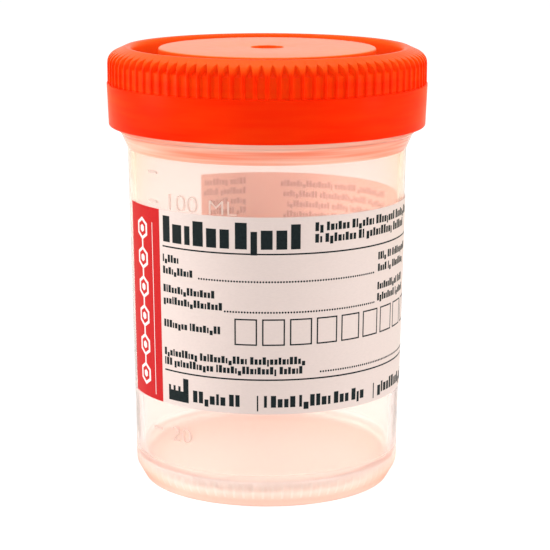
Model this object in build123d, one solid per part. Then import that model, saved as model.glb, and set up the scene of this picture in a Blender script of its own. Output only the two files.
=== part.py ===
from build123d import *
import math
import os

# Formalin specimen container: a drafted pot with a flared neck, a screw lid that plugs the mouth,
# a sealing ring in the channel of the lid and a label wrapped round the wall.
# The origin is the centre of the foot and +Z is the axis of the pot. Lengths are in millimetres
# and angles in degrees. Outlines are drawn as (radius, height) and turned about the axis.

# Pot
pot_height = 79.4
wall_foot_radius = 25.05
wall_draft = 1.05
pot_wall = 1.2
floor_thickness = 1.6
foot_recess = 2.5
foot_width = 1.0
foot_lean = 0.3
foot_rounding = 0.5
foot_taper = 1.6
foot_taper_height = 3.6
inner_corner = 2.2

# Neck of the pot
neck_length = 10.8
neck_wall = 1.3
neck_step = 1.26
flare_height = 2.9
collar_height = 2.2
collar_width = 0.4
rim_chamfer = 0.35

# Sealing ring
seal_thickness = 0.8
seal_overhang = 0.4
seal_clearance = 0.15

# Lid
skirt_depth = 12.6
skirt_wall = 1.1
skirt_taper = 0.3
thread_room = 1.1
band_height = 7.9
band_step = 0.15
edge_chamfer = 0.25
shoulder_radius = 2.2
shoulder_turn = 64.0
shoulder_rise = 0.95
roof_wall = 1.95
channel_chamfer = 0.6
crest_rounding = 1.0
crest_flat = 0.25
plug_wall = 0.85
plug_clearance = 0.08
plug_lead = 0.8
well_depth = 6.2
well_width = 4.85
web_thickness = 1.1
disc_drop = 0.25
disc_wall = 1.1
disc_thickness = 1.3
disc_chamfer = 0.4
gate_radius = 3.1
gate_depth = 0.5

# Flutes of the grip
flute_count = 90
flute_share = 0.8
flute_depth = 0.4
flute_wall_angle = 25.0
flute_end_slope = 35.0

# Label
label_thickness = 0.1
adhesive_thickness = 0.02
label_bottom = 18.1
label_height = 36.2
label_start = -73.0
label_wrap = 284.0

# Chords that stand for each round stretch, and how far a cut runs past the solid that it cuts
inner_corner_chords = 4
shoulder_chords = 3
crest_chords = 2
cut_margin = 1.0

# Heights and radii that follow
taper_rate = math.tan(math.radians(wall_draft))
neck_bottom = pot_height - neck_length
collar_bottom = neck_bottom - collar_height
flare_bottom = collar_bottom - flare_height


def wall_radius(height):
    return wall_foot_radius + (height - foot_taper_height) * taper_rate


flare_radius = wall_radius(flare_bottom)
neck_radius = flare_radius + neck_step
mouth_radius = neck_radius - neck_wall
seal_top = pot_height + seal_thickness
crest_height = seal_top + roof_wall
skirt_bottom = seal_top - skirt_depth
skirt_bore = neck_radius + thread_room
skirt_radius = skirt_bore + skirt_wall
band_top = skirt_bottom + band_height
band_radius = skirt_radius + skirt_taper
grip_radius = band_radius - band_step
shoulder_bottom = crest_height - shoulder_rise - shoulder_radius * math.sin(math.radians(shoulder_turn))
plug_radius = mouth_radius - plug_clearance
well_radius = plug_radius - plug_wall
well_floor = crest_height - well_depth
web_bottom = well_floor - web_thickness
disc_radius = well_radius - well_width
disc_top = crest_height - disc_drop
disc_underside = disc_top - disc_thickness
dome_radius = disc_radius - disc_wall


def side(start, end):
    """A straight side of an outline. A drafted one is a curve with two poles."""
    if start[0] == end[0] or start[1] == end[1]:
        return Line(start, end)
    return Bezier(start, end)


def turned(points, angle=360.0):
    """The solid that a closed outline of (radius, height) points sweeps about the axis."""
    sides = [side(start, end) for start, end in zip(points, points[1:] + points[:1])]
    return revolve(Plane.XZ * make_face(sides), Axis.Z, angle)


def arc_points(centre, radius, first_angle, last_angle, chords):
    """Points that follow an arc in even chords, both ends included."""
    points = []
    for step in range(chords + 1):
        angle = math.radians(first_angle + (last_angle - first_angle) * step / chords)
        points.append((centre[0] + radius * math.cos(angle), centre[1] + radius * math.sin(angle)))
    return points


def make_pot():
    """A cup with parallel drafted walls, a foot ring, a flare, a collar and a plain neck."""
    floor_top = foot_recess + floor_thickness
    foot_outer = wall_foot_radius - foot_taper - foot_rounding
    foot_inner = foot_outer - foot_width
    corner_centre_height = floor_top + inner_corner
    corner_centre_radius = wall_radius(corner_centre_height) - pot_wall - inner_corner
    corner_centre = (corner_centre_radius, corner_centre_height)
    corner = arc_points(corner_centre, inner_corner, 0, -90, inner_corner_chords)
    collar_radius = neck_radius + collar_width
    outline = [
        (0.0, foot_recess),
        (foot_inner - foot_lean, foot_recess),
        (foot_inner, 0.0),
        (foot_outer, 0.0),
        (foot_outer + foot_rounding, foot_rounding),
        (wall_foot_radius, foot_taper_height),
        (flare_radius, flare_bottom),
        (neck_radius, collar_bottom),
        (collar_radius, collar_bottom + collar_width / 2),
        (collar_radius, neck_bottom - collar_width),
        (neck_radius, neck_bottom),
        (neck_radius, pot_height - rim_chamfer),
        (neck_radius - rim_chamfer, pot_height),
        (mouth_radius + rim_chamfer, pot_height),
        (mouth_radius, pot_height - rim_chamfer),
        (mouth_radius, collar_bottom),
        (flare_radius - pot_wall, flare_bottom),
        *corner,
        (0.0, floor_top),
    ]
    return turned(outline)


def make_crown():
    """Grip, rounded shoulder and roof of the lid, with one flat side to each rib of the grip."""
    shoulder_centre = (grip_radius - shoulder_radius, shoulder_bottom)
    outline = [
        (grip_radius, band_top),
        *arc_points(shoulder_centre, shoulder_radius, 0, shoulder_turn, shoulder_chords),
        (well_radius + crest_rounding + crest_flat, crest_height),
    ]
    crown = Part()
    for (low_radius, low), (high_radius, high) in zip(outline, outline[1:]):
        section = RegularPolygon(low_radius, flute_count, major_radius=False)
        lean = math.degrees(math.atan2(low_radius - high_radius, high - low))
        crown += extrude(Plane.XY.offset(low) * section, high - low, taper=lean)
    return crown


def make_lid_blank():
    """The lid before its flutes: skirt band and crown, hollowed from below and from above."""
    band = turned([
        (0.0, skirt_bottom),
        (skirt_radius - edge_chamfer, skirt_bottom),
        (skirt_radius, skirt_bottom + edge_chamfer),
        (band_radius, band_top),
        (0.0, band_top),
    ])
    hollow_below = turned([
        (0.0, skirt_bottom - cut_margin),
        (skirt_bore, skirt_bottom - cut_margin),
        (skirt_bore, seal_top - channel_chamfer),
        (skirt_bore - channel_chamfer, seal_top),
        (plug_radius, seal_top),
        (plug_radius, web_bottom + plug_lead),
        (plug_radius - plug_lead / 2, web_bottom),
        (dome_radius, web_bottom),
        (dome_radius, disc_underside),
        (0.0, disc_underside),
    ])
    lip_centre = (well_radius + crest_rounding, crest_height - crest_rounding)
    hollow_above = turned([
        (0.0, disc_top - gate_depth),
        (gate_radius, disc_top - gate_depth),
        (gate_radius, disc_top),
        (disc_radius - disc_chamfer, disc_top),
        (disc_radius, disc_top - disc_chamfer),
        (disc_radius, well_floor),
        (well_radius, well_floor),
        *arc_points(lip_centre, crest_rounding, 180, 90, crest_chords),
        (lip_centre[0], crest_height + cut_margin),
        (0.0, crest_height + cut_margin),
    ])
    return band + make_crown() - hollow_below - hollow_above


def make_flute_cutter():
    """A V-shaped bar with a flat floor, whose floor slopes in to the point of the V at the top."""
    wall_slope = math.tan(math.radians(flute_wall_angle))
    pitch = 2 * math.pi * grip_radius / flute_count
    half_opening = pitch * flute_share / 2
    point_radius = grip_radius - half_opening / wall_slope
    floor_radius = grip_radius - flute_depth
    outside = band_radius + cut_margin
    half_width = (outside - point_radius) * wall_slope
    end_rise = (floor_radius - point_radius) * math.tan(math.radians(flute_end_slope))
    above = crest_height + cut_margin
    bar_section = Polyline(
        (point_radius, 0.0),
        (outside, -half_width),
        (outside, half_width),
        close=True,
    )
    side_view = Polyline(
        (floor_radius, band_top),
        (outside, band_top),
        (outside, above),
        (point_radius, above),
        (point_radius, shoulder_bottom + end_rise),
        (floor_radius, shoulder_bottom),
        close=True,
    )
    bar = extrude(Plane.XY * make_face(bar_section), above)
    side_block = extrude(Plane.XZ * make_face(side_view), half_width + cut_margin, both=True)
    return bar & side_block


def make_lid():
    """The lid with its ring of flutes, each open to the shoulder in a pointed arch."""
    cutter = make_flute_cutter()
    cutters = [Rot(Z=360.0 * index / flute_count) * cutter for index in range(flute_count)]
    return make_lid_blank() - cutters


def make_lid_seal():
    """A flat ring between the rim of the pot and the roof of the channel."""
    inner = plug_radius + seal_clearance
    outer = neck_radius + seal_overhang
    return turned([(inner, pot_height), (outer, pot_height), (outer, seal_top), (inner, seal_top)])


def make_label():
    """A thin strip that follows the drafted wall, with a gap left at the rear left."""
    label_top = label_bottom + label_height
    inner_bottom = wall_radius(label_bottom) + adhesive_thickness
    inner_top = wall_radius(label_top) + adhesive_thickness
    outline = [
        (inner_bottom, label_bottom),
        (inner_bottom + label_thickness, label_bottom),
        (inner_top + label_thickness, label_top),
        (inner_top, label_top),
    ]
    strip = turned(outline, label_wrap)
    return Rot(Z=label_start - 90.0) * strip


os.makedirs("parts", exist_ok=True)
export_step(make_pot(), "parts/pot.step")
export_step(make_lid(), "parts/lid.step")
export_step(make_lid_seal(), "parts/lid_seal.step")
export_step(make_label(), "parts/label.step")
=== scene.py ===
import math

import bmesh
import bpy
from mathutils import Matrix, Vector


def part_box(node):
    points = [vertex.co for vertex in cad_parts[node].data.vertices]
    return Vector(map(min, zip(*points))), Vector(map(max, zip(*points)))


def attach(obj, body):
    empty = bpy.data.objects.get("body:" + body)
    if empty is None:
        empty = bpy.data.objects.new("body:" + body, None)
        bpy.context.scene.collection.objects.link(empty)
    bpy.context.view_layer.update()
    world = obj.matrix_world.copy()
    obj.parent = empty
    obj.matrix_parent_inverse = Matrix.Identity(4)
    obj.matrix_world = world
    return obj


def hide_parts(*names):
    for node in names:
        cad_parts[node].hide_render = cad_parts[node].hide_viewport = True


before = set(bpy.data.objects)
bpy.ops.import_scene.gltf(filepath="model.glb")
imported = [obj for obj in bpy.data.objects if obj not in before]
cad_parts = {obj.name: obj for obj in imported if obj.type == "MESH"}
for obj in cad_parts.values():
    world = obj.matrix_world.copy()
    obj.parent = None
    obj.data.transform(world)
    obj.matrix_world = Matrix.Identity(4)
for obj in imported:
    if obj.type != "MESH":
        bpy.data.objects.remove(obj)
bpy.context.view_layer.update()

# The pot is one injection moulding in natural polypropylene, clear enough to show the specimen.
# Its walls are drafted to leave the mould, it stands on a narrow foot ring, and a flare widens
# its neck so that the plug of the lid can be as wide as the bore below.
MM = 0.001
TURN = 2 * math.pi
weld = 0.001 * MM
level_slack = 0.1 * MM

pot_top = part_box("pot")[1][2]
collar_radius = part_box("pot")[1][0]
collar_width = 0.4 * MM
collar_height = 2.2 * MM
neck_wall = 1.3 * MM
neck_length = 10.8 * MM
flare_height = 2.9 * MM
neck_radius = collar_radius - collar_width
mouth_radius = neck_radius - neck_wall
neck_bottom = pot_top - neck_length
collar_bottom = neck_bottom - collar_height
flare_bottom = collar_bottom - flare_height
pot_wall = 1.2 * MM
floor_top = 4.1 * MM
foot_recess = 2.5 * MM
taper_top = 3.6 * MM
wall_foot_radius = 25.05 * MM
wall_draft = math.tan(math.radians(1.05))
foot_mark_count = 86
foot_mark_columns = 4
pot_segments = foot_mark_columns * foot_mark_count


def wall_radius(height):
    """Outer radius of the drafted wall of the pot at a height."""
    return wall_foot_radius + (height - taper_top) * wall_draft


def rounded(outline, chords=5):
    """Points (radius, height) of an outline whose corners (radius, height, rounding) become arcs."""
    points = [Vector(outline[0][:2])]
    for before, corner, after in zip(outline, outline[1:], outline[2:]):
        at = Vector(corner[:2])
        back = (Vector(before[:2]) - at).normalized()
        ahead = (Vector(after[:2]) - at).normalized()
        half = back.angle(ahead) / 2
        if corner[2] == 0:
            points.append(at)
            continue
        centre = at + (back + ahead).normalized() * corner[2] / math.sin(half)
        first = at + back * corner[2] / math.tan(half) - centre
        last = at + ahead * corner[2] / math.tan(half) - centre
        for step in range(chords + 1):
            points.append(centre + first.slerp(last, step / chords) * corner[2])
    points.append(Vector(outline[-1][:2]))
    return points


def only(piece):
    """Makes one object the only selected and the active one."""
    bpy.ops.object.select_all(action="DESELECT")
    piece.select_set(True)
    bpy.context.view_layer.objects.active = piece


def select_vertices(piece, test):
    """In edit mode, selects what lies wholly on vertices whose place passes the test."""
    bpy.ops.mesh.select_mode(type="VERT")
    shape = bmesh.from_edit_mesh(piece.data)
    for vertex in shape.verts:
        vertex.select_set(test(vertex.co))
    shape.select_flush_mode()
    bmesh.update_edit_mesh(piece.data)


def close_mesh(merge=True):
    """In edit mode, merges doubles, turns all faces outwards and goes back to object mode."""
    bpy.ops.mesh.select_all(action="SELECT")
    if merge:
        bpy.ops.mesh.remove_doubles(threshold=weld)
    bpy.ops.mesh.normals_make_consistent(inside=False)
    bpy.ops.object.mode_set(mode="OBJECT")


def raise_rings(points, segments):
    """A closed turned shape, raised ring by ring from the middle of its underside."""
    radius, height = points[0]
    bpy.ops.object.select_all(action="DESELECT")
    bpy.ops.mesh.primitive_circle_add(vertices=segments, radius=radius, location=(0, 0, height))
    piece = bpy.context.object
    bpy.ops.object.transform_apply(location=True)
    bpy.ops.object.mode_set(mode="EDIT")
    bpy.ops.mesh.select_all(action="SELECT")
    for next_radius, next_height in points[1:]:
        rise = (0, 0, next_height - height)
        bpy.ops.mesh.extrude_region_move(TRANSFORM_OT_translate={"value": rise})
        scale = next_radius / radius
        bpy.ops.transform.resize(value=(scale, scale, 1), center_override=(0, 0, next_height))
        radius, height = next_radius, next_height
    bpy.ops.mesh.edge_face_add()
    first = Vector(points[0])
    select_vertices(piece, lambda co: (Vector((co.xy.length, co.z)) - first).length < weld)
    bpy.ops.mesh.edge_face_add()
    close_mesh(merge=False)
    return piece


def finish_piece(piece, name, material, body, smooth=35):
    """Settles a modelled piece in its mesh and gives it its name, material, body and slot."""
    only(piece)
    bpy.ops.object.transform_apply(location=True, rotation=True, scale=True)
    bpy.ops.object.shade_smooth_by_angle(angle=math.radians(smooth))
    piece.name = name
    piece.data.name = name
    piece.data.materials.clear()
    piece.data.materials.append(material)
    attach(piece, body)


def new_material(name):
    """A node material, with its tree and its main shader."""
    material = bpy.data.materials.new(name)
    material.use_nodes = True
    return material, material.node_tree, material.node_tree.nodes["Principled BSDF"]


def noise_on(tree, scale, stretch=(1, 1, 1), detail=3):
    """Noise on object coordinates, scale in cycles per metre, stretched along the axes."""
    place = tree.nodes.new("ShaderNodeTexCoord")
    mapping = tree.nodes.new("ShaderNodeMapping")
    mapping.inputs["Scale"].default_value = stretch
    noise = tree.nodes.new("ShaderNodeTexNoise")
    noise.inputs["Scale"].default_value = scale
    noise.inputs["Detail"].default_value = detail
    tree.links.new(place.outputs["Object"], mapping.inputs["Vector"])
    tree.links.new(mapping.outputs["Vector"], noise.inputs["Vector"])
    return noise.outputs["Fac"]


def ramp_on(tree, value, *stops):
    """A colour ramp with stops of (position, colour)."""
    ramp = tree.nodes.new("ShaderNodeValToRGB")
    elements = ramp.color_ramp.elements
    for element, (position, colour) in zip([elements[0], elements[1]], [stops[0], stops[-1]]):
        element.position = position
        element.color = (*colour, 1)
    for position, colour in stops[1:-1]:
        elements.new(position).color = (*colour, 1)
    tree.links.new(value, ramp.inputs["Fac"])
    return ramp.outputs["Color"]


def range_on(tree, value, low, high, start=0.0, end=1.0):
    """The value between start and end carried over to low to high."""
    span = tree.nodes.new("ShaderNodeMapRange")
    span.inputs["From Min"].default_value = start
    span.inputs["From Max"].default_value = end
    span.inputs["To Min"].default_value = low
    span.inputs["To Max"].default_value = high
    tree.links.new(value, span.inputs["Value"])
    return span.outputs["Result"]


def bump_on(tree, shader, height, distance, strength=1.0):
    """Lets a height value raise the surface of a shader by a distance in metres."""
    bump = tree.nodes.new("ShaderNodeBump")
    bump.inputs["Strength"].default_value = strength
    bump.inputs["Distance"].default_value = distance
    tree.links.new(height, bump.inputs["Height"])
    tree.links.new(bump.outputs["Normal"], shader.inputs["Normal"])


def height_on(tree):
    """The height of a point of the piece, in metres."""
    place = tree.nodes.new("ShaderNodeTexCoord")
    split = tree.nodes.new("ShaderNodeSeparateXYZ")
    tree.links.new(place.outputs["Object"], split.inputs["Vector"])
    return split.outputs["Z"]


def combined(tree, operation, first, second):
    """Two values put together by a Math node. Either may be a plain number."""
    node = tree.nodes.new("ShaderNodeMath")
    node.operation = operation
    for socket, value in zip(node.inputs, (first, second)):
        if isinstance(value, (int, float)):
            socket.default_value = value
        else:
            tree.links.new(value, socket)
    return node.outputs["Value"]


def let_light_through(tree, shader, share, colour):
    """Lets a share of the lamps' light through, tinted, where the eye sees the shader itself."""
    through = tree.nodes.new("ShaderNodeBsdfTransparent")
    through.inputs["Color"].default_value = (*colour, 1)
    ray = tree.nodes.new("ShaderNodeLightPath")
    mix = tree.nodes.new("ShaderNodeMixShader")
    passed = combined(tree, "MULTIPLY", ray.outputs["Is Shadow Ray"], share)
    tree.links.new(passed, mix.inputs["Fac"])
    tree.links.new(shader.outputs["BSDF"], mix.inputs[1])
    tree.links.new(through.outputs["BSDF"], mix.inputs[2])
    tree.links.new(mix.outputs["Shader"], tree.nodes["Material Output"].inputs["Surface"])


soft_refraction = 1.18
frost_start = 5.0 * MM
frost_end = 9.0 * MM


def clear_polypropylene():
    """Clear, slightly milky polypropylene, warmer where it is thick, towards the foot and the neck. Its
    base colour is a pale pink that warms further towards the neck: painted light for the orange light of
    the lid that fills the pot.
    """
    material, tree, shader = new_material("clear_polypropylene")
    height = height_on(tree)
    # Painted light: a pale pink colour, warmer with height, for the lid's orange light inside the pot.
    painted_pink_tint = ramp_on(
        tree,
        range_on(tree, height, 0, 1, 0, flare_bottom),
        (0.0, (0.99, 0.92, 0.88)),
        (0.065, (0.99, 0.92, 0.88)),
        (0.2, (0.995, 0.895, 0.86)),
        (0.8, (0.995, 0.89, 0.852)),
        (0.98, (0.99, 0.87, 0.83)),
    )
    tree.links.new(painted_pink_tint, shader.inputs["Base Color"])
    shader.inputs["IOR"].default_value = soft_refraction
    shader.inputs["Transmission Weight"].default_value = 0.9
    frost = range_on(tree, height, 0.3, 0.0, frost_start, frost_end)
    gloss = range_on(tree, noise_on(tree, 40), 0.05, 0.09)
    tree.links.new(combined(tree, "ADD", frost, gloss), shader.inputs["Roughness"])
    bump_on(tree, shader, noise_on(tree, 40, stretch=(1, 1, 0.6), detail=1), 0.02 * MM)
    let_light_through(tree, shader, 1, (1.0, 0.975, 0.965))
    depth = tree.nodes.new("ShaderNodeVolumeAbsorption")
    depth.inputs["Color"].default_value = (0.9, 0.35, 0.15, 1)
    depth.inputs["Density"].default_value = 9.0
    tree.links.new(depth.outputs["Volume"], tree.nodes["Material Output"].inputs["Volume"])
    return material


def lid_lit_polypropylene():
    """The plastic of flare and collar, streaked by its flow. Its pinkish orange colour is painted light,
    the orange glow of the lid above it, and it turns paler up the collar as painted light against the
    lid's shade.
    """
    material, tree, shader = new_material("lid_lit_polypropylene")
    let_light_through(tree, shader, 1, (1.0, 0.9, 0.85))
    streaks = noise_on(tree, 170, stretch=(0.15, 0.15, 6), detail=2)
    # Painted light: paler colours up the collar, where the lid's shade falls.
    painted_collar_light = range_on(tree, height_on(tree), 0, 0.25, collar_bottom - MM, neck_bottom)
    # Painted light: pinkish orange for the orange light of the lid, varied by the flow streaks.
    painted_salmon_light = ramp_on(
        tree,
        combined(tree, "ADD", streaks, painted_collar_light),
        (0.38, (1.0, 0.32, 0.19)),
        (0.62, (1.0, 0.62, 0.48)),
        (0.8, (1.0, 0.78, 0.66)),
    )
    tree.links.new(painted_salmon_light, shader.inputs["Base Color"])
    shader.inputs["IOR"].default_value = soft_refraction
    shader.inputs["Transmission Weight"].default_value = 0.5
    tree.links.new(range_on(tree, streaks, 0.1, 0.2), shader.inputs["Roughness"])
    return material


def frosted_polypropylene(name, clearness, *painted_light_stops):
    """The same plastic where the mould is spark-eroded, round and under the foot. Its peach colours, given
    by height, are painted light: the orange light of the lid inside the pot.
    """
    material, tree, shader = new_material(name)
    let_light_through(tree, shader, 1, (0.985, 0.965, 0.955))
    cloud = noise_on(tree, 250)
    level = range_on(tree, height_on(tree), 0, 0.9, 0, frosted_top)
    depth = combined(tree, "ADD", level, combined(tree, "MULTIPLY", cloud, 0.1))
    # Painted light: peach colours by height for the lid's orange light.
    tree.links.new(ramp_on(tree, depth, *painted_light_stops), shader.inputs["Base Color"])
    shader.inputs["IOR"].default_value = soft_refraction
    shader.inputs["Transmission Weight"].default_value = clearness
    tree.links.new(range_on(tree, cloud, 0.35, 0.45), shader.inputs["Roughness"])
    return material


# Up to here flare and collar get the painted orange light of the lid.
lid_light_top = neck_bottom + 2.0 * MM
foot_width = 1.0 * MM
foot_lean = 0.3 * MM
foot_mark_bottom = 1.5 * MM
foot_mark_top = 4.6 * MM
foot_mark_depth = 0.25 * MM
frosted_top = 5.2 * MM
foot_outer = wall_foot_radius - 2.1 * MM
foot_inner = foot_outer - foot_width
taper_low = foot_outer + 0.35 * MM
round_top = 3.1 * MM
taper_slope = (wall_foot_radius - taper_low) / round_top
taper_rings = (1.0 * MM, 1.7 * MM)
wall_rings = (4.4 * MM, 4.8 * MM, frosted_top)
pole_radius = 1.0 * MM
rim_rounding = 0.35 * MM
collar_rounding = 0.15 * MM
flare_rounding = 1.2 * MM
pot_outline = [
    (pole_radius, foot_recess),
    (foot_inner - foot_lean, foot_recess, 0.4 * MM),
    (foot_inner, 0, 0.25 * MM),
    (taper_low, 0, 0.45 * MM),
    *[(taper_low + height * taper_slope, height, 0) for height in taper_rings],
    (wall_foot_radius, round_top, 2.6 * MM),
    *[(wall_radius(height), height, 0) for height in wall_rings],
    (wall_radius(flare_bottom), flare_bottom, collar_rounding),
    (neck_radius, collar_bottom, 0.4 * MM),
    (collar_radius, collar_bottom + 0.3 * MM, collar_rounding),
    (collar_radius, neck_bottom - 0.2 * MM, collar_rounding),
    (neck_radius, neck_bottom, collar_rounding),
    (neck_radius, lid_light_top, 0),
    (neck_radius, pot_top, rim_rounding),
    (mouth_radius, pot_top, rim_rounding),
    (mouth_radius, lid_light_top, 0),
    (mouth_radius, collar_bottom, flare_rounding),
    (wall_radius(flare_bottom) - pot_wall, flare_bottom, flare_rounding),
    (wall_radius(floor_top) - pot_wall, floor_top, 2.2 * MM),
    (pole_radius, floor_top),
]
clear_plastic = clear_polypropylene()
pot = raise_rings(rounded(pot_outline), pot_segments)


def column_of(place):
    """The number of the column of faces at a place, counted round the pot."""
    return math.atan2(place.y, place.x) / TURN * pot_segments


def in_foot_marks(place):
    """Whether a place is on the outside of the foot, as high as its pressed marks."""
    return foot_mark_bottom < place.z < foot_mark_top and place.xy.length > foot_outer


for vertex in pot.data.vertices:
    if in_foot_marks(vertex.co) and round(column_of(vertex.co)) % foot_mark_columns < 2:
        vertex.co.xy *= 1 - foot_mark_depth / vertex.co.xy.length
finish_piece(pot, "moulded_pot", clear_plastic, "pot_body")
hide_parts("pot")
# The foot gets peach painted light for the lid's orange light, deepest low on the foot and paling upwards.
pot.data.materials.append(frosted_polypropylene(
    "frosted_foot",
    0.7,
    (0.05, (1.0, 0.62, 0.52)),
    (0.28, (1.0, 0.50, 0.39)),
    (0.45, (1.0, 0.62, 0.51)),
    (0.65, (0.99, 0.78, 0.70)),
    (0.95, (0.98, 0.885, 0.85)),
))
# The grooves get paler painted light, a painted highlight that shows them as light streaks.
pot.data.materials.append(frosted_polypropylene(
    "frosted_grooves",
    0.7,
    (0.28, (1.0, 0.62, 0.52)),
    (0.45, (1.0, 0.72, 0.62)),
    (0.65, (0.99, 0.83, 0.76)),
    (0.95, (0.98, 0.885, 0.85)),
))
# The underside gets peach painted light for the lid's orange light, paling upwards.
pot.data.materials.append(frosted_polypropylene(
    "frosted_underside",
    0.75,
    (0.1, (0.99, 0.80, 0.73)),
    (0.35, (0.99, 0.945, 0.90)),
))
pot.data.materials.append(lid_lit_polypropylene())
for face in pot.data.polygons:
    in_groove = math.floor(column_of(face.center)) % foot_mark_columns == 0
    if face.center.z < frosted_top and face.center.xy.length > foot_outer:
        face.material_index = 2 if in_foot_marks(face.center) and in_groove else 1
    elif face.center.z < foot_recess + level_slack:
        face.material_index = 3
    # Flare and collar: the material with the painted light of the lid.
    elif flare_bottom < face.center.z < lid_light_top:
        face.material_index = 4

# The thread of the neck has two starts that rise 6 mm a turn to the right. It is part of the
# moulding of the pot, and its ridges run out to nothing at both ends.
thread_lead = 6 * MM
thread_base = 1.6 * MM
thread_crest = 0.5 * MM
thread_height = 0.8 * MM
thread_sink = 0.1 * MM
thread_turns = 1.05
thread_steps = 120
run_out_steps = 8
run_out_width = 0.4
pot_thread_bottom = neck_bottom + 1.6 * MM


def wind_thread(root_radius, crest_radius, bottom, start_turn):
    """One start of a thread: its section is drawn at the root, screwed up and run out at both ends."""
    outward = math.copysign(1, crest_radius - root_radius)
    bpy.ops.object.select_all(action="DESELECT")
    bpy.ops.mesh.primitive_plane_add(size=thread_base, location=(root_radius, 0, bottom))
    start = bpy.context.object
    start.rotation_euler = (math.pi / 2, 0, 0)
    bpy.ops.object.transform_apply(location=True, rotation=True)
    for corner in start.data.vertices:
        on_crest = (corner.co.x - root_radius) * outward > 0
        half = thread_crest / 2 if on_crest else thread_base / 2
        corner.co.x = crest_radius if on_crest else root_radius - outward * thread_sink
        corner.co.z = bottom + math.copysign(half, corner.co.z - bottom)
    screw = start.modifiers.new("screw", "SCREW")
    screw.angle = TURN * thread_turns
    screw.screw_offset = thread_lead * thread_turns
    screw.steps = thread_steps
    screw.render_steps = thread_steps
    bpy.ops.object.modifier_apply(modifier="screw")
    for vertex in start.data.vertices:
        step = vertex.index // 4
        left = min(1.0, min(step, thread_steps - step) / run_out_steps)
        depth = (vertex.co.xy.length - root_radius) * outward
        radius = root_radius + outward * (depth * left if depth > 0 else depth)
        angle = math.atan2(vertex.co.y, vertex.co.x) + TURN * start_turn
        middle = bottom + thread_lead * thread_turns * step / thread_steps
        narrow = run_out_width + (1 - run_out_width) * left
        height = middle + (vertex.co.z - middle) * narrow
        vertex.co = (radius * math.cos(angle), radius * math.sin(angle), height)
    bpy.ops.object.mode_set(mode="EDIT")
    bpy.ops.mesh.select_all(action="SELECT")
    bpy.ops.mesh.fill_holes(sides=4)
    close_mesh(merge=False)
    return start


def join(pieces):
    """Joins a list of objects into the first."""
    bpy.ops.object.select_all(action="DESELECT")
    for piece in pieces:
        piece.select_set(True)
    bpy.context.view_layer.objects.active = pieces[0]
    bpy.ops.object.join()
    return pieces[0]


pot_thread = join([
    wind_thread(neck_radius, neck_radius + thread_height, pot_thread_bottom, start_turn)
    for start_turn in (0, 0.5)
])
finish_piece(pot_thread, "pot_thread", clear_plastic, "pot_body")

# The lid is one moulding in orange polyethylene: a smooth skirt band, a grip of 90 flutes with
# pointed ends under a round shoulder, a double wall whose inner skin plugs the mouth, a well,
# and a raised disc with the recess of the gate in its middle. One flute is modelled and repeated.
lid_low, lid_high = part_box("lid")
skirt_bottom = lid_low[2]
crest = lid_high[2]
band_radius = lid_high[0]
band_height = 7.9 * MM
skirt_taper = 0.3 * MM
skirt_wall = 1.1 * MM
band_step = 0.15 * MM
plug_clearance = 0.08 * MM
plug_wall = 0.85 * MM
plug_lead = 0.8 * MM
channel_chamfer = 0.6 * MM
well_depth = 6.2 * MM
well_width = 4.85 * MM
web_thickness = 1.1 * MM
disc_drop = 0.25 * MM
disc_thickness = 1.3 * MM
disc_wall = 1.1 * MM
gate_radius = 3.1 * MM
gate_depth = 0.5 * MM
gate_draft = 0.1 * MM
shoulder_rounding = 2.2 * MM
shoulder_half_turn = math.radians(32.8)
shoulder_corner = crest - 1.51 * MM
lip_rounding = 1.0 * MM
lip_drop = 0.02 * MM
crest_inset = 1.25 * MM
band_top = skirt_bottom + band_height
skirt_radius = band_radius - skirt_taper
skirt_bore = skirt_radius - skirt_wall
grip_radius = band_radius - band_step
seal_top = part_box("lid_seal")[1][2]
plug_radius = mouth_radius - plug_clearance
well_radius = plug_radius - plug_wall
well_floor = crest - well_depth
web_bottom = well_floor - web_thickness
disc_radius = well_radius - well_width
disc_top = crest - disc_drop
disc_underside = disc_top - disc_thickness
dome_radius = disc_radius - disc_wall
flute_count = 90
flute_angle = TURN / flute_count
flute_steps = 4
flute_share = 0.8
flute_depth = 0.4 * MM
flute_wall = math.radians(25)
flute_end = math.radians(35)
flute_edge = 0.09 * MM
flute_floor = grip_radius - flute_depth
cutter_width = 3 * MM
cutter_tolerance = 1e-7


def draw_outline(points):
    """A face in the XZ plane, drawn corner by corner from one vertex."""
    bpy.ops.object.select_all(action="DESELECT")
    bpy.ops.mesh.primitive_plane_add(size=MM)
    piece = bpy.context.object
    bpy.ops.object.mode_set(mode="EDIT")
    bpy.ops.mesh.merge(type="CENTER")
    last = Vector((0, 0))
    for number, point in enumerate(points):
        step = (point[0] - last[0], 0, point[1] - last[1])
        if number == 0:
            bpy.ops.transform.translate(value=step)
        else:
            bpy.ops.mesh.extrude_region_move(TRANSFORM_OT_translate={"value": step})
        last = point
    bpy.ops.mesh.select_all(action="SELECT")
    bpy.ops.mesh.edge_face_add()
    return piece


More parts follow.
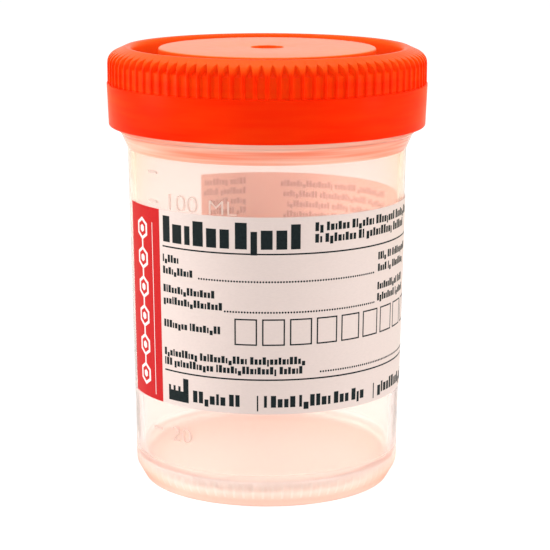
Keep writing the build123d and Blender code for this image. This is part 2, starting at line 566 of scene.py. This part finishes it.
def lid_wedge():
    """A slice of the lid as wide as one flute, with its section as both ends."""
    outline = [
        (0, disc_underside),
        (dome_radius, disc_underside, 0.6 * MM),
        (dome_radius, web_bottom, 0.4 * MM),
        (plug_radius - plug_lead / 2, web_bottom, 0.3 * MM),
        (plug_radius, web_bottom + plug_lead, 0.5 * MM),
        (plug_radius, seal_top, 0.15 * MM),
        (skirt_bore - channel_chamfer, seal_top, 0.2 * MM),
        (skirt_bore, seal_top - channel_chamfer, 0.2 * MM),
        (skirt_bore, skirt_bottom, 0.25 * MM),
        (skirt_radius, skirt_bottom, 0.35 * MM),
        (band_radius, band_top, 0.12 * MM),
        (grip_radius, band_top, 0),
        (grip_radius, shoulder_corner, shoulder_rounding),
        (well_radius + crest_inset, crest, 0.5 * MM),
        (well_radius, crest - lip_drop, lip_rounding),
        (well_radius, well_floor, 0.5 * MM),
        (disc_radius, well_floor, 0.4 * MM),
        (disc_radius, disc_top, 0.45 * MM),
        (gate_radius, disc_top, 0.12 * MM),
        (gate_radius - gate_draft, disc_top - gate_depth, 0.15 * MM),
        (0, disc_top - gate_depth),
    ]
    wedge = draw_outline(rounded(outline, chords=6))
    bpy.ops.transform.rotate(value=-flute_angle / 2, orient_axis="Z", center_override=(0, 0, 0))
    bpy.ops.mesh.spin(steps=flute_steps, angle=flute_angle, center=(0, 0, 0), axis=(0, 0, 1))
    close_mesh()
    return wedge


def flute_cutter():
    """A bar of V section, flat at the floor of the flute, that slopes in to a point above."""
    half_opening = math.pi * grip_radius / flute_count * flute_share
    point_radius = grip_radius - half_opening / math.tan(flute_wall)
    shoulder_start = shoulder_corner - shoulder_rounding * math.tan(shoulder_half_turn)
    outside = band_radius + MM
    above = crest + MM
    cutter = draw_outline([
        (flute_floor, band_top),
        (outside, band_top),
        (outside, above),
        (point_radius, above),
        (point_radius, shoulder_start + (flute_floor - point_radius) * math.tan(flute_end)),
        (flute_floor, shoulder_start),
    ])
    bpy.ops.mesh.extrude_region_move(TRANSFORM_OT_translate={"value": (0, cutter_width, 0)})
    bpy.ops.mesh.select_all(action="SELECT")
    bpy.ops.transform.translate(value=(0, -cutter_width / 2, 0))
    for side in (-1, 1):
        bpy.ops.mesh.select_all(action="SELECT")
        across = (-math.sin(flute_wall), side * math.cos(flute_wall), 0)
        bpy.ops.mesh.bisect(
            plane_co=(point_radius, 0, 0),
            plane_no=across,
            use_fill=True,
            clear_outer=True,
            threshold=cutter_tolerance,
        )
    close_mesh()
    return cutter


def cut(piece, cutter):
    """Takes the cutter away from the piece, then removes the cutter."""
    only(piece)
    boolean = piece.modifiers.new("cut", "BOOLEAN")
    boolean.operation = "DIFFERENCE"
    boolean.solver = "EXACT"
    boolean.object = cutter
    bpy.ops.object.modifier_apply(modifier="cut")
    bpy.data.objects.remove(cutter)


def blend_on(tree, share, first, second):
    """Two colours mixed by a share. The first may be a plain colour."""
    mix = tree.nodes.new("ShaderNodeMix")
    mix.data_type = "RGBA"
    tree.links.new(share, mix.inputs["Factor"])
    if isinstance(first, tuple):
        mix.inputs["A"].default_value = first
    else:
        tree.links.new(first, mix.inputs["A"])
    tree.links.new(second, mix.inputs["B"])
    return mix.outputs["Result"]


def distance_on(tree):
    """The distance of a point of the piece from the axis, in metres."""
    place = tree.nodes.new("ShaderNodeTexCoord")
    flat = tree.nodes.new("ShaderNodeVectorMath")
    flat.operation = "MULTIPLY"
    flat.inputs[1].default_value = (1, 1, 0)
    length = tree.nodes.new("ShaderNodeVectorMath")
    length.operation = "LENGTH"
    tree.links.new(place.outputs["Object"], flat.inputs[0])
    tree.links.new(flat.outputs["Vector"], length.inputs[0])
    return length.outputs["Value"]


def lid_polyethylene(name, gloss, glow):
    """Satin orange polyethylene. Painted light makes it lighter in the flute floors, towards the top and
    round the well, for light shining through its thinner walls there; glow sets how light the painted
    light is.
    """
    material, tree, shader = new_material(name)
    flow = noise_on(tree, 60, stretch=(1, 1, 10))
    deep = ramp_on(tree, flow, (0.3, (0.98, 0.017, 0.001)), (0.7, (1.0, 0.036, 0.002)))
    # Painted light: the flute floors lighter, against the shade in the flutes.
    painted_flute_light = ramp_on(tree, flow, (0.3, (1.0, 0.031, 0.002)), (0.7, (1.0, 0.056, 0.003)))
    # Painted light: the top and the well lighter, as bright as glow says.
    light = ramp_on(tree, flow, (0.3, (0.98, glow, 0.008)), (0.7, (1.0, 1.2 * glow, 0.012)))
    reach = distance_on(tree)
    fluted = range_on(tree, reach, 1, 0, flute_floor + 0.05 * MM, flute_floor + 0.25 * MM)
    high = range_on(tree, height_on(tree), 0, 1, crest - 2.6 * MM, crest - 0.7 * MM)
    near = range_on(tree, reach, 1, 0, well_radius + 0.4 * MM, well_radius + 1.4 * MM)
    side = blend_on(tree, fluted, deep, painted_flute_light)
    colour = blend_on(tree, combined(tree, "MAXIMUM", high, near), side, light)
    tree.links.new(colour, shader.inputs["Base Color"])
    shader.inputs["IOR"].default_value = 1.5
    shader.inputs["Specular IOR Level"].default_value = gloss
    shader.inputs["Specular Tint"].default_value = (1.0, 0.5, 0.2, 1)
    shader.inputs["Subsurface Weight"].default_value = 0.15
    shader.inputs["Subsurface Radius"].default_value = (1.0, 0.25, 0.05)
    shader.inputs["Subsurface Scale"].default_value = 1.0 * MM
    tree.links.new(range_on(tree, noise_on(tree, 700), 0.26, 0.34), shader.inputs["Roughness"])
    bump_on(tree, shader, noise_on(tree, 60, stretch=(1, 1, 4)), 0.01 * MM)
    return material


lid = lid_wedge()
cut(lid, flute_cutter())
bpy.ops.object.mode_set(mode="EDIT")
place_slack = 0.01 * MM
angle_slack = 0.0001
side_angle = flute_angle / 2 - angle_slack
select_vertices(lid, lambda co: co.xy.length < place_slack or abs(math.atan2(co.y, co.x)) > side_angle)
bpy.ops.mesh.delete(type="ONLY_FACE")
shape = bmesh.from_edit_mesh(lid.data)
bpy.ops.mesh.select_mode(type="EDGE")
bpy.ops.mesh.select_all(action="DESELECT")
flute_reach = 27.9 * MM
flute_half_angle = 0.03
flute_edge_angle = math.radians(20)
for edge in shape.edges:
    corners = [vertex.co for vertex in edge.verts]
    outer = min(co.xy.length for co in corners) > flute_reach
    central = max(abs(math.atan2(co.y, co.x)) for co in corners) < flute_half_angle
    above = max(co.z for co in corners) > band_top + place_slack
    edge.select_set(outer and central and above and edge.calc_face_angle(0) > flute_edge_angle)
bmesh.update_edit_mesh(lid.data)
bpy.ops.mesh.bevel(offset=flute_edge, segments=2, affect="EDGES", clamp_overlap=True)
bpy.ops.mesh.select_mode(type="VERT")
bpy.ops.mesh.select_all(action="SELECT")
bpy.ops.mesh.spin(
    steps=flute_count - 1,
    dupli=True,
    angle=TURN - flute_angle,
    center=(0, 0, 0),
    axis=(0, 0, 1),
)
close_mesh()
orange_plastic = lid_polyethylene("lid_polyethylene", gloss=0.035, glow=0.095)
finish_piece(lid, "moulded_lid", orange_plastic, "lid_body", smooth=28)
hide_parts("lid")
# The disc top gets a copy with more painted light, a painted reflection of the bright surround, and more
# gloss.
lid.data.materials.append(lid_polyethylene("disc_polyethylene", gloss=0.5, glow=0.155))
for face in lid.data.polygons:
    if face.center.xy.length < disc_radius and face.center.z > disc_top - level_slack:
        face.material_index = 1

# The thread in the skirt of the lid lies half a pitch above that of the neck, so that the two
# mesh as the lid turns.
lid_thread_bottom = pot_thread_bottom + thread_lead / 4
lid_thread = join([
    wind_thread(skirt_bore, skirt_bore - thread_height, lid_thread_bottom, start_turn)
    for start_turn in (0, 0.5)
])
finish_piece(lid_thread, "lid_thread", orange_plastic, "lid_body")

# The sealing ring is cut from soft white foam and lies on the rim of the pot, in the channel
# between the skirt of the lid and its plug.
seal_low, seal_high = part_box("lid_seal")
seal_clearance = 0.15 * MM
seal_inner = plug_radius + seal_clearance
seal_edge = 0.12 * MM
seal_segments = 144


def seal_foam():
    """Soft closed-cell foam, matt and finely pitted."""
    material, tree, shader = new_material("closed_cell_foam")
    cells = noise_on(tree, 4000, detail=4)
    colour = ramp_on(tree, cells, (0.35, (0.78, 0.78, 0.76)), (0.65, (0.9, 0.9, 0.88)))
    tree.links.new(colour, shader.inputs["Base Color"])
    tree.links.new(range_on(tree, cells, 0.75, 0.95), shader.inputs["Roughness"])
    bump_on(tree, shader, cells, 0.05 * MM)
    return material


seal_middle = (seal_inner + seal_high[0]) / 2
seal = draw_outline(rounded([
    (seal_middle, seal_low[2]),
    (seal_high[0], seal_low[2], seal_edge),
    (seal_high[0], seal_high[2], seal_edge),
    (seal_inner, seal_high[2], seal_edge),
    (seal_inner, seal_low[2], seal_edge),
    (seal_middle - 0.1 * MM, seal_low[2]),
], chords=3))
bpy.ops.mesh.delete(type="ONLY_FACE")
bpy.ops.mesh.select_all(action="SELECT")
bpy.ops.mesh.spin(steps=seal_segments, angle=TURN, center=(0, 0, 0), axis=(0, 0, 1))
close_mesh()
finish_piece(seal, "foam_seal", seal_foam(), "seal_body")
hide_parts("lid_seal")

# The label is a white self-adhesive film, printed flat, cut to a strip and wrapped on from the
# front left round to the rear left.
label_low, label_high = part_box("label")
label_bottom = label_low[2]
label_top = label_high[2]
label_gap = 0.02 * MM
label_film_thickness = 0.1 * MM
front = math.radians(-90)
label_start = front - math.radians(73)
label_wrap = math.radians(284)
label_steps = 142
film_passes = 0.75
film_tint = (1.0, 0.88, 0.82)
label_length = label_wrap * wall_radius((label_bottom + label_top) / 2)


def label_film():
    """White film with a satin face and the faint fibre of its paper liner pressed into it. Its pink-grey
    colour is painted light, the orange light from the lid that reaches it through the pot.
    """
    material, tree, shader = new_material("white_film")
    let_light_through(tree, shader, film_passes, film_tint)
    fibre = noise_on(tree, 1500, stretch=(1, 1, 3), detail=5)
    # Painted light: the white film is coloured pink-grey for the lid's orange light.
    colour = ramp_on(tree, fibre, (0.3, (0.775, 0.645, 0.598)), (0.7, (0.81, 0.675, 0.625)))
    tree.links.new(colour, shader.inputs["Base Color"])
    tree.links.new(range_on(tree, fibre, 0.42, 0.55), shader.inputs["Roughness"])
    shader.inputs["Specular IOR Level"].default_value = 0.3
    bump_on(tree, shader, fibre, 0.01 * MM)
    return material


def label_back():
    """The adhesive side of the film, which lies on the wall. Its warm pink colour is painted light, the
    lid's orange light inside the pot.
    """
    material, tree, shader = new_material("film_back")
    let_light_through(tree, shader, film_passes, film_tint)
    smear = noise_on(tree, 120, detail=4)
    # Painted light: a warm pink for the orange light inside the pot.
    colour = ramp_on(tree, smear, (0.3, (0.98, 0.69, 0.62)), (0.7, (1.0, 0.76, 0.69)))
    tree.links.new(colour, shader.inputs["Base Color"])
    tree.links.new(range_on(tree, smear, 0.5, 0.65), shader.inputs["Roughness"])
    return material


film_face = label_gap + label_film_thickness
label = draw_outline([
    (wall_radius(label_bottom) + label_gap, label_bottom),
    (wall_radius(label_bottom) + film_face, label_bottom),
    (wall_radius(label_top) + film_face, label_top),
    (wall_radius(label_top) + label_gap, label_top),
])
bpy.ops.mesh.spin(steps=label_steps, angle=-label_wrap, center=(0, 0, 0), axis=(0, 0, 1))
close_mesh(merge=False)
label.rotation_euler = (0, 0, label_start)
finish_piece(label, "printed_label", label_film(), "pot_body")
label.data.materials.append(label_back())
for face in label.data.polygons:
    inward = face.normal.xy.dot(face.center.xy) < 0 and abs(face.normal.z) < 0.5
    across = abs(face.normal.xy.normalized().dot(face.center.xy.normalized())) > 0.9
    face.material_index = 1 if inward and across else 0
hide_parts("label")

# The print of the label is offset ink on the film, laid out flat before it is wrapped on: two
# rules, rows of plain blocks, dotted lines to write on and a row of boxes for the patient's number.
ink_thickness = 0.012 * MM
block_heights = (1.0, 0.72, 0.72, 0.94, 0.72, 0.72, 1.0)
block_widths = (0.43, 0.4, 0.36, 0.44, 0.24)
block_drops = (0.0, 0.0, 0.0, 0.0, 0.22, 0.0, 0.0, 0.0, 0.0)
block_pitch = 0.51
block_gap = 0.136
group_gap = 0.42 * MM
bend_step = 1.2 * MM
rule_thickness = 0.28 * MM
box_width = 4.1 * MM
box_height = 4.9 * MM
box_pitch = 4.99 * MM
box_line = 0.26 * MM
dot_radius = 0.19 * MM
dot_pitch = 0.52 * MM
band_width = 10.95 * MM
page_left = 11.8 * MM
heading_left = 41.3 * MM
second_left = 55.7 * MM
boxes_left = 26.85 * MM
page_right = 77 * MM
rear_left = 84 * MM
rear_column = 117.6 * MM
heading_rule = 29.4 * MM
foot_rule = 6.3 * MM
boxes_bottom = 12.8 * MM
title_cap = 4.8 * MM
heading_cap = 1.6 * MM
body_cap = 1.4 * MM
small_cap = 1.3 * MM
foot_cap = 2.2 * MM
foot_base = 1.3 * MM
divider_bottom = 0.6 * MM
divider_height = 2.9 * MM


def flat_sheet():
    """An empty mesh, open in edit mode, on which print is laid out in the XY plane."""
    bpy.ops.object.select_all(action="DESELECT")
    bpy.ops.mesh.primitive_plane_add(size=MM)
    bpy.ops.object.mode_set(mode="EDIT")
    bpy.ops.mesh.delete(type="VERT")
    return bpy.context.object


def block(left, bottom, width, height):
    """A printed block on the open sheet, in columns narrow enough to bend round the pot."""
    middle = (left + width / 2, bottom + height / 2, 0)
    columns = math.ceil(width / bend_step)
    bpy.ops.mesh.primitive_grid_add(x_subdivisions=columns, y_subdivisions=1, size=1, location=middle)
    bpy.ops.transform.resize(value=(width, height, 1), center_override=middle)


def block_row(left, base, cap, *lengths):
    """Groups of plain blocks, whose heights and widths take turns so that no two groups match."""
    number = round((left + base) / MM)
    for length in lengths:
        for place in range(max(1, round(length / (cap * block_pitch)))):
            drop = block_drops[number % len(block_drops)] * cap
            height = block_heights[0 if place == 0 else number % len(block_heights)] * cap
            width = block_widths[number % len(block_widths)] * cap
            block(left, base - drop, width, height - drop / 2)
            left += width + block_gap * cap
            number += 1
        left += group_gap


def frame_lines(left, bottom, width, height, line):
    """The four sides of a printed box."""
    block(left, bottom, width, line)
    block(left, bottom + height - line, width, line)
    block(left, bottom + line, line, height - 2 * line)
    block(left + width - line, bottom + line, line, height - 2 * line)


def dots(left, height, right):
    """A dotted line to write on, one dot repeated."""
    bpy.ops.object.select_all(action="DESELECT")
    place = (left, height, 0)
    bpy.ops.mesh.primitive_circle_add(vertices=8, radius=dot_radius, fill_type="NGON", location=place)
    line = bpy.context.object
    bpy.ops.object.transform_apply(location=True)
    row = line.modifiers.new("row", "ARRAY")
    row.count = int((right - left) / dot_pitch)
    row.use_relative_offset = False
    row.use_constant_offset = True
    row.constant_offset_displace = (dot_pitch, 0, 0)
    bpy.ops.object.modifier_apply(modifier="row")
    return line


def wrap_on_label(sheet, sink, face):
    """Thickens a flat layout, x along the label and y up it, and bends it onto a face of the film."""
    only(sheet)
    bpy.ops.object.mode_set(mode="EDIT")
    bpy.ops.mesh.select_all(action="SELECT")
    bpy.ops.mesh.extrude_region_move(TRANSFORM_OT_translate={"value": (0, 0, ink_thickness + sink)})
    bpy.ops.object.mode_set(mode="OBJECT")
    for vertex in sheet.data.vertices:
        along, up, out = vertex.co
        height = label_bottom + up
        radius = wall_radius(height) + face + out - sink
        angle = label_start + along / label_length * label_wrap
        vertex.co = (radius * math.cos(angle), radius * math.sin(angle), height)
    bpy.ops.object.mode_set(mode="EDIT")
    close_mesh(merge=False)


def ink(name, dark, light):
    """Printing ink, slightly uneven where the film's fibre took less of it."""
    material, tree, shader = new_material(name)
    grain = noise_on(tree, 2500, detail=4)
    tree.links.new(ramp_on(tree, grain, (0.3, dark), (0.7, light)), shader.inputs["Base Color"])
    tree.links.new(range_on(tree, grain, 0.4, 0.6), shader.inputs["Roughness"])
    shader.inputs["Specular IOR Level"].default_value = 0.08
    return material


def front_page():
    """The printed side of the label from its heading down to its foot line."""
    block_row(page_left + 0.2 * MM, heading_rule + MM, title_cap, 14.2 * MM, 11.8 * MM)
    block(page_left, heading_rule, page_right - page_left, rule_thickness)
    block_row(heading_left, 33.5 * MM, heading_cap, 2 * MM, 4.5 * MM, 5.6 * MM, 6.4 * MM, 7.4 * MM)
    block_row(heading_left, 31.4 * MM, heading_cap, 2 * MM, 6.3 * MM, 1.8 * MM, 8 * MM, 6 * MM)
    for base, first, second in (
        (26.7, (4,), (3.2, 1.6, 8.1)),
        (24.5, (7.3,), (3.2, 1.6, 6.5)),
        (21.1, (11.4,), (8, 3.2)),
        (19.0, (12.9,), (6.5, 4.8)),
        (14.6, (5.8, 6.5), ()),
        (9.3, (8.1, 9, 9.7), ()),
        (7.5, (2.4, 8.9, 11.4, 4.1), ()),
    ):
        block_row(page_left, base * MM, body_cap, *(length * MM for length in first))
        block_row(second_left, base * MM, body_cap, *(length * MM for length in second))
    for number in range(10):
        frame_lines(boxes_left + number * box_pitch, boxes_bottom, box_width, box_height, box_line)
    block(page_left, foot_rule, page_right - page_left, rule_thickness)
    symbol_left = 12.7 * MM
    block(symbol_left, 0.9 * MM, 4.8 * MM, 2.0 * MM)
    for number in range(3):
        block(symbol_left + 1.2 * MM * number, 2.8 * MM, 0.55 * MM, 1.0 * MM)
    block(symbol_left + 3.6 * MM, 2.8 * MM, 1.2 * MM, 2.6 * MM)
    block_row(18.5 * MM, foot_base, foot_cap, 7.2 * MM, 2.6 * MM)
    block_row(32.2 * MM, foot_base, foot_cap, 1.3 * MM, 4.6 * MM, 6.6 * MM, 3.4 * MM, 3.4 * MM)
    block_row(56.6 * MM, foot_base, foot_cap, 14 * MM)
    for divider in (30.9 * MM, 55.2 * MM):
        block(divider, divider_bottom, box_line, divider_height)


def rear_page():
    """Lines of small print and a plain table on the part of the label that faces away."""
    for number, lengths in enumerate(((9, 5, 11), (6, 12, 7), (11, 4, 9), (7, 8, 10))):
        block_row(rear_left, (33.4 - 2.1 * number) * MM, small_cap, *(length * MM for length in lengths))
    for number, lengths in enumerate(((3, 5), (5, 3), (3, 4), (2, 5))):
        block_row(rear_column, (33.9 - 2.0 * number) * MM, small_cap, *(length * MM for length in lengths))
    for number in range(3):
        frame_lines(rear_left, (8 + 5 * number) * MM, 30 * MM, 5.2 * MM, box_line)


black = flat_sheet()
front_page()
rear_page()
bpy.ops.object.mode_set(mode="OBJECT")
black = join([
    black,
    dots(20.1 * MM, 24.5 * MM, 55.3 * MM),
    dots(25.1 * MM, 18.9 * MM, 55.3 * MM),
    dots(42.7 * MM, 7.6 * MM, page_right),
])
only(black)
# This copy of the print becomes the painted shadow of the print, seen from inside the pot.
bpy.ops.object.duplicate()
faint = bpy.context.object
wrap_on_label(black, ink_thickness, film_face)
black_ink = ink("black_ink", (0.006, 0.011, 0.013), (0.012, 0.02, 0.022))
finish_piece(black, "black_print", black_ink, "pot_body")

# The red band closes the left end of the label. A plain line and a chain of hexagons in white
# ink run up it, as a border with no meaning of its own.
red = flat_sheet()
band_inset = 0.03 * MM
block(band_inset, band_inset, band_width, label_top - label_bottom - 2 * band_inset)
bpy.ops.object.mode_set(mode="OBJECT")
wrap_on_label(red, ink_thickness, film_face)
red_ink = ink("red_ink", (0.55, 0.010, 0.012), (0.62, 0.017, 0.019))
finish_piece(red, "red_print", red_ink, "pot_body")

hexagon_count = 6
hexagon_radius = 2.15 * MM
hexagon_line = 0.55 * MM
hexagon_core = 0.75 * MM
hexagon_pitch = 5.5 * MM
chain_middle = 5.2 * MM
chain_bottom = 4.3 * MM
link_width = 0.5 * MM
link_length = hexagon_pitch - 2 * hexagon_radius * math.cos(math.pi / 6)


def hexagon(middle, height, radius, line):
    """A printed hexagon on the open sheet, open in the middle if it has a line."""
    bpy.ops.mesh.select_all(action="DESELECT")
    place = (middle, height, 0)
    bpy.ops.mesh.primitive_circle_add(vertices=6, radius=radius, fill_type="NGON", location=place)
    if line:
        bpy.ops.mesh.inset(thickness=line)
        bpy.ops.mesh.delete(type="FACE")


white = flat_sheet()
for number in range(hexagon_count):
    height = chain_bottom + number * hexagon_pitch
    hexagon(chain_middle, height, hexagon_radius, hexagon_line)
    hexagon(chain_middle, height, hexagon_core, 0)
    if number:
        link_bottom = height - hexagon_pitch / 2 - link_length / 2
        block(chain_middle - link_width / 2, link_bottom, link_width, link_length)
block(8.7 * MM, 1.0 * MM, 0.16 * MM, 32.4 * MM)
bpy.ops.mesh.select_all(action="SELECT")
bpy.ops.mesh.subdivide(number_cuts=2)
bpy.ops.object.mode_set(mode="OBJECT")
wrap_on_label(white, 0, film_face + ink_thickness)
white_ink = ink("white_ink", (0.86, 0.80, 0.78), (0.92, 0.87, 0.85))
finish_piece(white, "white_print", white_ink, "pot_body")

# Where the back of the label is seen through the pot, the shadow of its print shows faintly through the
# film. A darker copy of the print on the adhesive side paints that shadow.
print_shadow_depth = 0.008 * MM
wrap_on_label(faint, 0, label_gap - print_shadow_depth)
print_shadow_ink = ink("print_shadow_ink", (0.50, 0.30, 0.26), (0.60, 0.38, 0.33))
finish_piece(faint, "painted_print_shadow", print_shadow_ink, "pot_body")

# The scale is moulded on the outside of the wall, above and below the label: ticks for 20, 100 and
# 110 ml and plain numbers, all raised by about a tenth of a millimetre.
scale_foot = 2.0 * MM
scale_rise = 0.535 * MM
scale_proud = 0.12 * MM
scale_sink = 0.08 * MM
tick_angle = front - math.radians(52.5)
tick_length = 2.7 * MM
tick_width = 0.45 * MM
tick_edge = 0.07 * MM
number_width = 1.18
number_thinning = 0.06 * MM
upper_numbers = label_top + 0.15 * MM
lower_numbers = scale_foot + scale_rise * 20 - 1.4 * MM
font_cap_share = 0.73


def wrap_on_wall(piece, middle_angle, height):
    """Bends a flat raised mark round the wall, its middle at an angle and its base at a height."""
    for vertex in piece.data.vertices:
        level = height + vertex.co.y
        radius = wall_radius(level) + vertex.co.z
        angle = middle_angle + vertex.co.x / wall_radius(level)
        vertex.co = (radius * math.cos(angle), radius * math.sin(angle), level)


def scale_polypropylene():
    """The plastic of the pot where it is matt and milky, on the raised marks of the scale."""
    material, tree, shader = new_material("scale_polypropylene")
    cloud = noise_on(tree, 300)
    colour = ramp_on(tree, cloud, (0.3, (0.97, 0.74, 0.66)), (0.7, (0.98, 0.81, 0.74)))
    tree.links.new(colour, shader.inputs["Base Color"])
    shader.inputs["IOR"].default_value = 1.49
    shader.inputs["Transmission Weight"].default_value = 0.35
    shader.inputs["Specular IOR Level"].default_value = 0.2
    tree.links.new(range_on(tree, cloud, 0.35, 0.5), shader.inputs["Roughness"])
    return material


def moulded_tick(volume):
    """One tick of the scale: a bar with a rounded front."""
    bpy.ops.object.select_all(action="DESELECT")
    bpy.ops.mesh.primitive_cube_add(size=1)
    tick = bpy.context.object
    tick.scale = (tick_length, tick_width, scale_proud + scale_sink)
    tick.location = (0, 0, (scale_proud - scale_sink) / 2)
    bpy.ops.object.transform_apply(location=True, scale=True)
    bpy.ops.object.mode_set(mode="EDIT")
    bpy.ops.mesh.subdivide(number_cuts=4)
    bpy.ops.mesh.select_all(action="DESELECT")
    bpy.ops.mesh.edges_select_sharp(sharpness=math.radians(60))
    bpy.ops.mesh.bevel(offset=tick_edge, segments=2, affect="EDGES")
    bpy.ops.object.mode_set(mode="OBJECT")
    wrap_on_wall(tick, tick_angle, scale_foot + scale_rise * volume)
    return tick


def moulded_number(text, degrees, height, cap):
    """A number or unit of the scale, from thinned raised type."""
    bpy.ops.object.select_all(action="DESELECT")
    bpy.ops.object.text_add()
    number = bpy.context.object
    number.data.body = text
    number.data.size = cap / font_cap_share
    number.data.align_x = "CENTER"
    number.data.offset = -number_thinning
    number.data.extrude = (scale_proud + scale_sink) / 2
    number.data.resolution_u = 4
    bpy.ops.object.convert(target="MESH")
    number = bpy.context.object
    bpy.ops.object.mode_set(mode="EDIT")
    bpy.ops.mesh.select_all(action="SELECT")
    bpy.ops.transform.resize(value=(number_width, 1, 1), center_override=(0, 0, 0))
    bpy.ops.transform.translate(value=(0, 0, (scale_proud - scale_sink) / 2))
    bpy.ops.mesh.remove_doubles(threshold=weld)
    bpy.ops.object.mode_set(mode="OBJECT")
    wrap_on_wall(number, front + math.radians(degrees), height)
    return number


scale_marks = join([moulded_tick(volume) for volume in (20, 100, 110)])
matt_plastic = scale_polypropylene()
finish_piece(scale_marks, "scale_ticks", matt_plastic, "pot_body")
scale_numbers = join([
    moulded_number("20", -38.0, lower_numbers, 3.0 * MM),
    moulded_number("100", -36.5, upper_numbers, 3.2 * MM),
    moulded_number("ML", -17.9, upper_numbers, 2.75 * MM),
])
finish_piece(scale_numbers, "scale_numbers", matt_plastic, "pot_body")

# The stage: a pale floor that runs into a white backdrop, soft boxes at both sides and above,
# and a camera as far and as high as the photographer's.
white_level = 1.0
ambient_level = 0.5
floor_lift = 0.84
side_card = (1.0, 0.69, 0.46)
amber_card = (1.0, 0.80, 0.28)
floor_size = 6.0
camera_place = Vector((0, -0.3784, 0.1177))
camera_pitch = math.radians(11.82)
camera_yaw = math.radians(0.235)
camera_roll = math.radians(0.15)
camera_lens = 132.8
camera_sensor = 36


def seen_ray(tree):
    """One for camera, glossy and transmission rays, which see the backdrop."""
    ray = tree.nodes.new("ShaderNodeLightPath")
    direct = combined(tree, "MAXIMUM", ray.outputs["Is Camera Ray"], ray.outputs["Is Glossy Ray"])
    return combined(tree, "MAXIMUM", direct, ray.outputs["Is Transmission Ray"])


def warm_aside(tree, coordinates, near, far):
    """White to the eye, and in reflections and through plastic white in the middle, warm at the sides."""
    place = tree.nodes.new("ShaderNodeTexCoord")
    split = tree.nodes.new("ShaderNodeSeparateXYZ")
    ray = tree.nodes.new("ShaderNodeLightPath")
    tree.links.new(place.outputs[coordinates], split.inputs["Vector"])
    aside = combined(tree, "ABSOLUTE", split.outputs["X"], 0)
    distance = range_on(tree, aside, 0, 1, near, far)
    shown = (1, 1, 1, 1)
    for kind, card in (("Is Transmission Ray", side_card), ("Is Glossy Ray", amber_card)):
        tinted = ramp_on(tree, distance, (0, (1, 1, 1)), (1, card))
        shown = blend_on(tree, ray.outputs[kind], shown, tinted)
    return shown


bpy.ops.object.select_all(action="DESELECT")
bpy.ops.mesh.primitive_plane_add(size=floor_size, location=(0, 0, -0.02 * MM))
floor = bpy.context.object
floor.name = "floor"
floor_material, floor_tree, floor_shader = new_material("pale_floor")
seen = seen_ray(floor_tree)
floor_tree.links.new(range_on(floor_tree, seen, 0.82, 0.3), floor_shader.inputs["Base Color"])
floor_shader.inputs["Roughness"].default_value = 0.9
floor_shader.inputs["Specular IOR Level"].default_value = 0.1
floor_tree.links.new(warm_aside(floor_tree, "Object", 0.06, 0.3), floor_shader.inputs["Emission Color"])
glow = range_on(floor_tree, seen, 0, floor_lift)
floor_tree.links.new(glow, floor_shader.inputs["Emission Strength"])
floor.data.materials.append(floor_material)

world = bpy.data.worlds.new("studio")
bpy.context.scene.world = world
world.use_nodes = True
backdrop = world.node_tree.nodes["Background"]
world.node_tree.links.new(warm_aside(world.node_tree, "Generated", 0.15, 0.6), backdrop.inputs["Color"])
level = range_on(world.node_tree, seen_ray(world.node_tree), ambient_level, white_level)
world.node_tree.links.new(level, backdrop.inputs["Strength"])


def soft_box(name, place, target, width, height, power):
    """A rectangular area lamp that faces a target."""
    lamp = bpy.data.lights.new(name, "AREA")
    lamp.shape = "RECTANGLE"
    lamp.size = width
    lamp.size_y = height
    lamp.energy = power
    piece = bpy.data.objects.new(name, lamp)
    piece.location = place
    piece.rotation_euler = (Vector(target) - Vector(place)).to_track_quat("-Z", "Y").to_euler()
    bpy.context.scene.collection.objects.link(piece)


middle = (0, 0, 0.045)
soft_box("left_box", (-0.57, -0.06, 0.2), middle, 0.2, 0.4, 2.1)
soft_box("right_box", (0.56, -0.12, 0.2), middle, 0.1, 0.4, 1.3)
soft_box("front_box", (0, -0.75, 0.2), middle, 0.4, 0.36, 0.85)
soft_box("top_box", (0, 0.1, 0.7), middle, 0.6, 0.6, 2.0)

camera_data = bpy.data.cameras.new("camera")
camera_data.lens = camera_lens
camera_data.sensor_width = camera_sensor
camera = bpy.data.objects.new("camera", camera_data)
bpy.context.scene.collection.objects.link(camera)
turned = Matrix.Rotation(-camera_yaw, 4, "Z") @ Matrix.Rotation(math.pi / 2 - camera_pitch, 4, "X")
camera.matrix_world = Matrix.Translation(camera_place) @ turned @ Matrix.Rotation(camera_roll, 4, "Z")
bpy.context.scene.camera = camera
bpy.context.scene.view_settings.view_transform = "Standard"
